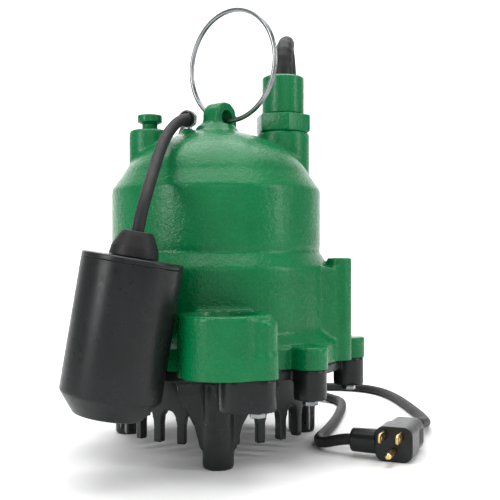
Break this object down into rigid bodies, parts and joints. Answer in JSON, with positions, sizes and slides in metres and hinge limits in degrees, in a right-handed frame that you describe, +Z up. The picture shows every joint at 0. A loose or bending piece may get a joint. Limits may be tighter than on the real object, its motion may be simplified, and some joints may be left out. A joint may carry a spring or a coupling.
{
  "type": "submersible sump pump",
  "caption": "Submersible sump pump: cast motor dome on a volute with vertical discharge, leg base with strainer, tethered float switch, lifting ring and coiled cords.",
  "frame": {"origin": "on the floor under the middle of the pump's box, measured without its free cords and plugs", "axes": "+Z up along the motor shaft, -Y towards the discharge boss, +X to the pump's right seen from the discharge side"},
  "size_m": [0.3138, 0.408, 0.3483],
  "materials": {
    "cast_green": "glossy enamel over sand-cast iron",
    "black_plastic": "satin moulded thermoplastic",
    "cord_rubber": "satin jacketed cord",
    "seal_rubber": "matte moulded rubber",
    "stainless": "bright drawn stainless",
    "steel": "machined steel",
    "brass": "stamped brass",
    "copper": "enamelled copper wire",
    "lamination": "stacked laminations",
    "ceramic": "lapped ceramic",
    "aluminium": "die-cast aluminium",
    "dark_plastic": "glass-filled plastic"
  },
  "bodies": {
    "pump": {"motor_housing": "cast_green", "volute_casing": "cast_green", "fill_plug": "cast_green", "gland_body": "cast_green", "gland_nut": "cast_green", "suction_base": "black_plastic", "inlet_strainer": "black_plastic", "float_plug": "black_plastic", "pump_plug": "black_plastic", "float_cord_rise": "cord_rubber", "float_cord_coil": "cord_rubber", "float_cord_floor": "cord_rubber", "power_cord_rise": "cord_rubber", "power_cord_coil": "cord_rubber", "power_cord_floor": "cord_rubber", "base_seal_ring": "seal_rubber", "casing_seal_ring": "seal_rubber", "cord_eye_sleeve": "seal_rubber", "power_strain_relief": "seal_rubber", "cord_eye_bolt": "stainless", "base_screw_1": "stainless", "base_screw_2": "stainless", "base_screw_3": "stainless", "base_screw_4": "stainless", "base_screw_5": "stainless", "base_screw_6": "stainless", "base_screw_7": "stainless", "base_screw_8": "stainless", "flange_screw_1": "stainless", "flange_screw_2": "stainless", "flange_screw_3": "stainless", "lower_bearing_outer": "steel", "upper_bearing_outer": "steel", "float_plug_blade_1": "brass", "float_plug_blade_2": "brass", "float_plug_ground_pin": "brass", "pump_plug_blade_1": "brass", "pump_plug_blade_2": "brass", "pump_plug_ground_pin": "brass", "upper_winding": "copper", "lower_winding": "copper", "stator_core": "lamination", "seal_seat": "ceramic", "run_capacitor": "aluminium", "overload_protector": "dark_plastic"},
    "rotor": {"motor_shaft": "steel", "rotor_core": "aluminium", "seal_head": "seal_rubber", "seal_spring": "stainless", "lower_bearing_inner": "steel", "upper_bearing_inner": "steel", "impeller": "dark_plastic"},
    "ring": {"lifting_ring": "stainless"},
    "float": {"float_shell": "black_plastic", "float_cap": "black_plastic", "float_boot": "seal_rubber", "switch_tube": "dark_plastic", "micro_switch": "dark_plastic", "tether_cord": "cord_rubber"},
    "ball": {"switch_ball": "steel"}
  },
  "joints": [
    {"name": "rotor_spin", "type": "hinge", "parent": "pump", "child": "rotor", "pos_m": [0, 0.01735, 0.15], "axis": [0, 0, 1], "continuous": true},
    {"name": "ring_swing", "type": "hinge", "parent": "pump", "child": "ring", "pos_m": [0.0025, 0.01735, 0.2612], "axis": [-0.7071, 0.7071, 0], "range_deg": [-60, 25]},
    {"name": "float_swing", "type": "hinge", "parent": "pump", "child": "float", "pos_m": [-0.0232, 0.00715, 0.259], "axis": [-0.9518, 0.3066, 0], "range_deg": [0, 80]},
    {"name": "ball_slide", "type": "slide", "parent": "float", "child": "ball", "axis": [0.1633, 0, 0.9866], "range_m": [0, 0.0255]}
  ]
}
